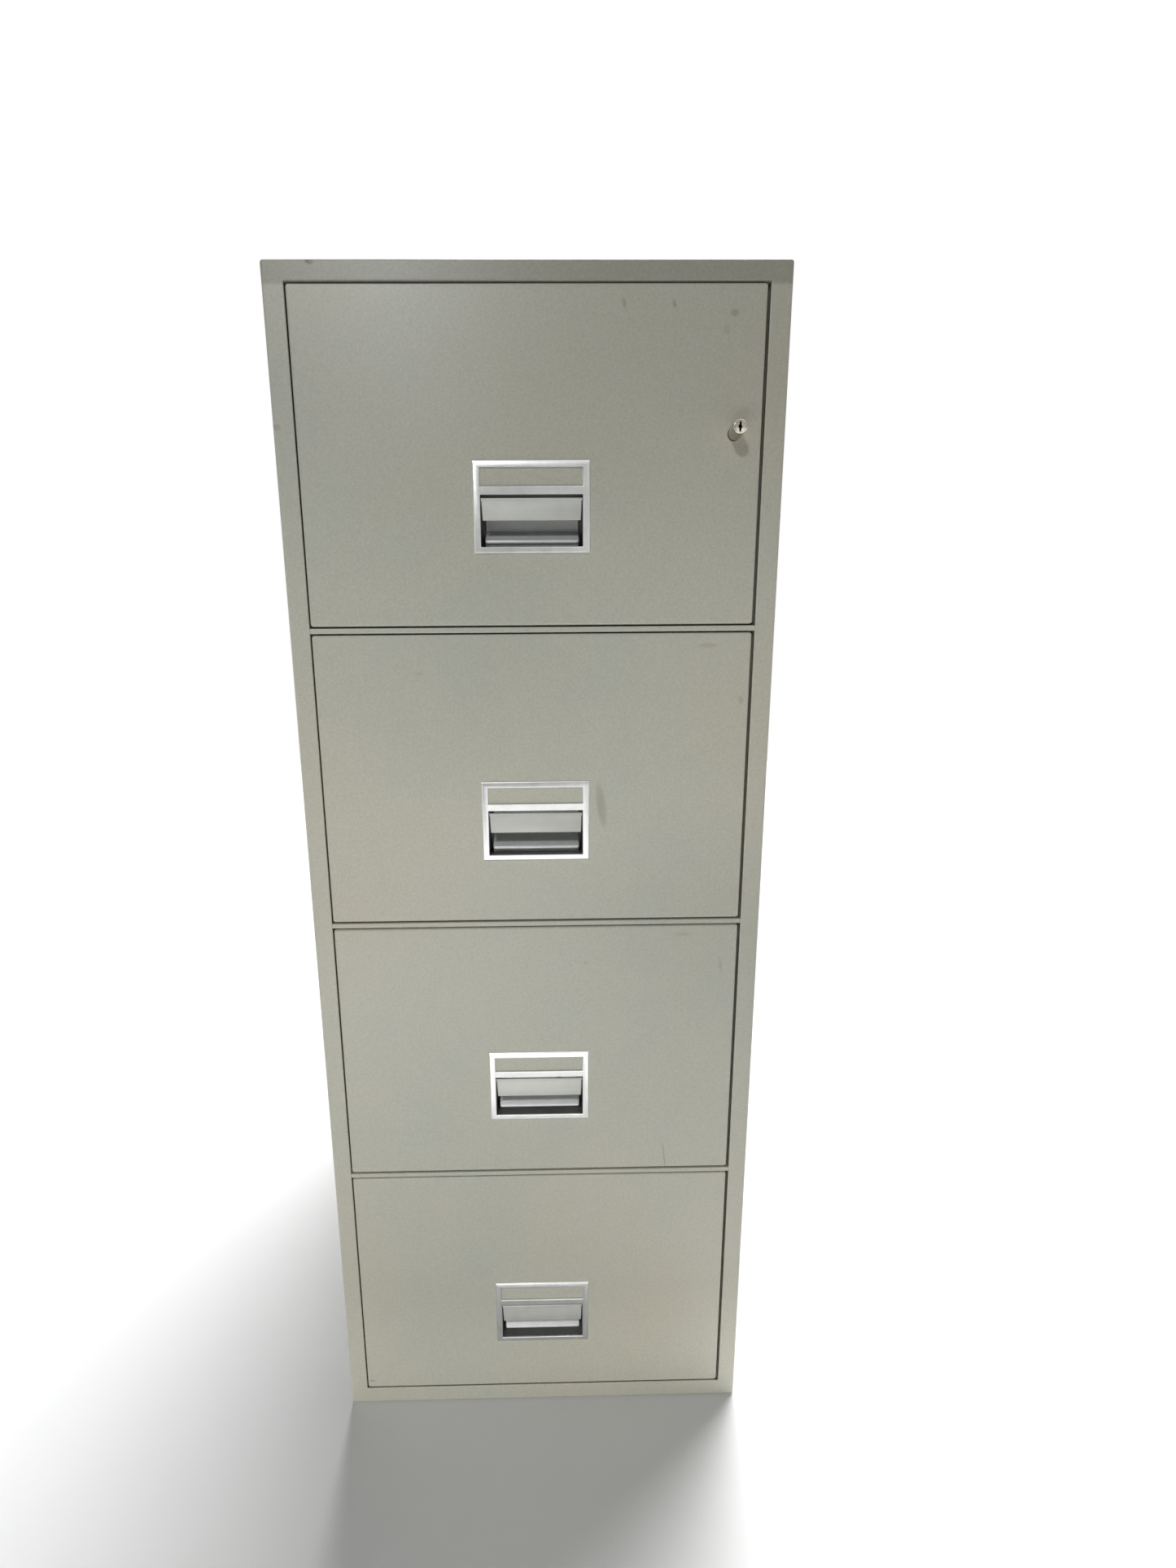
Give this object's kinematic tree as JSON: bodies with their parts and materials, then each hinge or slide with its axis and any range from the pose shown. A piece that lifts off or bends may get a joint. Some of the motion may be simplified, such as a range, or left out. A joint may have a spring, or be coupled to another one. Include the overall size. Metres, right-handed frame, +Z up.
{
  "type": "filing cabinet",
  "caption": "Tall insulated steel filing cabinet with inset drawers on telescopic slides, recessed satin flap handles with label windows, and a push-in plunger lock.",
  "frame": {"origin": "centre of the cabinet's footprint on the floor", "axes": "+X to the right, +Y from the front to the back, +Z up"},
  "size_m": [0.53, 0.694, 1.397],
  "materials": {
    "paint": "semi-gloss fine orange-peel enamel, greyish beige",
    "inner_paint": "thin satin enamel over primer, same greyish beige",
    "insulation": null,
    "slide_steel": "zinc-plated rolled steel",
    "pin_steel": "bright turned or drawn steel",
    "satin_metal": "satin die-cast bezel with bright bevels",
    "pan_metal": "satin pressed recess pan",
    "flap_metal": "satin rolled finger flap",
    "lock_chrome": "worn nickel-chrome plate"
  },
  "bodies": {
    "carcass": {"outer_shell": "paint", "back_panel": "paint", "base_plate": "paint", "front_frame": "paint", "drawer_rails": "paint", "wall_insulation": "insulation", "chamber_liners": "inner_paint", "fixed_slides": "slide_steel", "back_screws": "pin_steel", "bar_guides": "pin_steel"},
    "plunger": {"lock_barrel": "lock_chrome", "lock_tail": "pin_steel"},
    "key_cylinder": {"key_plug": "lock_chrome"},
    "lock_bar": {"locking_bar": "pin_steel"},
    "drawer_1": {"drawer_front_1": "paint", "front_insulation_1": "insulation", "inner_plate_1": "inner_paint", "drawer_box_1": "inner_paint", "drawer_slides_1": "slide_steel", "handle_bezel_1": "satin_metal", "handle_pan_1": "pan_metal", "flap_pin_1": "pin_steel", "flap_spring_1": "pin_steel", "lock_housing": "pin_steel"},
    "slide_1": {"mid_slides_1": "slide_steel"},
    "flap_1": {"handle_flap_1": "flap_metal"},
    "drawer_2": {"drawer_front_2": "paint", "front_insulation_2": "insulation", "inner_plate_2": "inner_paint", "drawer_box_2": "inner_paint", "drawer_slides_2": "slide_steel", "handle_bezel_2": "satin_metal", "handle_pan_2": "pan_metal", "flap_pin_2": "pin_steel", "flap_spring_2": "pin_steel"},
    "slide_2": {"mid_slides_2": "slide_steel"},
    "flap_2": {"handle_flap_2": "flap_metal"},
    "drawer_3": {"drawer_front_3": "paint", "front_insulation_3": "insulation", "inner_plate_3": "inner_paint", "drawer_box_3": "inner_paint", "drawer_slides_3": "slide_steel", "handle_bezel_3": "satin_metal", "handle_pan_3": "pan_metal", "flap_pin_3": "pin_steel", "flap_spring_3": "pin_steel"},
    "slide_3": {"mid_slides_3": "slide_steel"},
    "flap_3": {"handle_flap_3": "flap_metal"},
    "drawer_4": {"drawer_front_4": "paint", "front_insulation_4": "insulation", "inner_plate_4": "inner_paint", "drawer_box_4": "inner_paint", "drawer_slides_4": "slide_steel", "handle_bezel_4": "satin_metal", "handle_pan_4": "pan_metal", "flap_pin_4": "pin_steel", "flap_spring_4": "pin_steel"},
    "slide_4": {"mid_slides_4": "slide_steel"},
    "flap_4": {"handle_flap_4": "flap_metal"}
  },
  "joints": [
    {"name": "drawer_1_pull", "type": "slide", "parent": "carcass", "child": "drawer_1", "axis": [0, -1, 0], "range_m": [0, 0.48]},
    {"name": "slide_1_run", "type": "slide", "parent": "carcass", "child": "slide_1", "axis": [0, -1, 0], "range_m": [0, 0.24]},
    {"name": "flap_1_lift", "type": "hinge", "parent": "drawer_1", "child": "flap_1", "pos_m": [0, -0.3325, 1.1708], "axis": [-1, 0, 0], "range_deg": [0, 28], "stiffness_Nm_per_rad": 0.02, "springref_deg": -20.05},
    {"name": "drawer_2_pull", "type": "slide", "parent": "carcass", "child": "drawer_2", "axis": [0, -1, 0], "range_m": [0, 0.48]},
    {"name": "slide_2_run", "type": "slide", "parent": "carcass", "child": "slide_2", "axis": [0, -1, 0], "range_m": [0, 0.24]},
    {"name": "flap_2_lift", "type": "hinge", "parent": "drawer_2", "child": "flap_2", "pos_m": [0, -0.3325, 0.8308], "axis": [-1, 0, 0], "range_deg": [0, 28], "stiffness_Nm_per_rad": 0.02, "springref_deg": -20.05},
    {"name": "drawer_3_pull", "type": "slide", "parent": "carcass", "child": "drawer_3", "axis": [0, -1, 0], "range_m": [0, 0.48]},
    {"name": "slide_3_run", "type": "slide", "parent": "carcass", "child": "slide_3", "axis": [0, -1, 0], "range_m": [0, 0.24]},
    {"name": "flap_3_lift", "type": "hinge", "parent": "drawer_3", "child": "flap_3", "pos_m": [0, -0.3325, 0.4908], "axis": [-1, 0, 0], "range_deg": [0, 28], "stiffness_Nm_per_rad": 0.02, "springref_deg": -20.05},
    {"name": "drawer_4_pull", "type": "slide", "parent": "carcass", "child": "drawer_4", "axis": [0, -1, 0], "range_m": [0, 0.48]},
    {"name": "slide_4_run", "type": "slide", "parent": "carcass", "child": "slide_4", "axis": [0, -1, 0], "range_m": [0, 0.24]},
    {"name": "flap_4_lift", "type": "hinge", "parent": "drawer_4", "child": "flap_4", "pos_m": [0, -0.3325, 0.1508], "axis": [-1, 0, 0], "range_deg": [0, 28], "stiffness_Nm_per_rad": 0.02, "springref_deg": -20.05},
    {"name": "lock_push", "type": "slide", "parent": "drawer_1", "child": "plunger", "axis": [0, 1, 0], "range_m": [0, 0.014], "stiffness_N_per_m": 500, "springref_m": -0.02},
    {"name": "key_turn", "type": "hinge", "parent": "plunger", "child": "key_cylinder", "pos_m": [0.2118, -0.3555, 1.2363], "axis": [0, 1, 0], "range_deg": [0, 90]},
    {"name": "bar_drop", "type": "slide", "parent": "carcass", "child": "lock_bar", "axis": [0, 0, -1], "range_m": [0, 0.0101]}
  ],
  "couplings": [
    {"joint": "slide_1_run", "follows": "drawer_1_pull", "ratio": 0.5},
    {"joint": "slide_2_run", "follows": "drawer_2_pull", "ratio": 0.5},
    {"joint": "slide_3_run", "follows": "drawer_3_pull", "ratio": 0.5},
    {"joint": "slide_4_run", "follows": "drawer_4_pull", "ratio": 0.5},
    {"joint": "bar_drop", "follows": "lock_push", "ratio": 0.714}
  ]
}
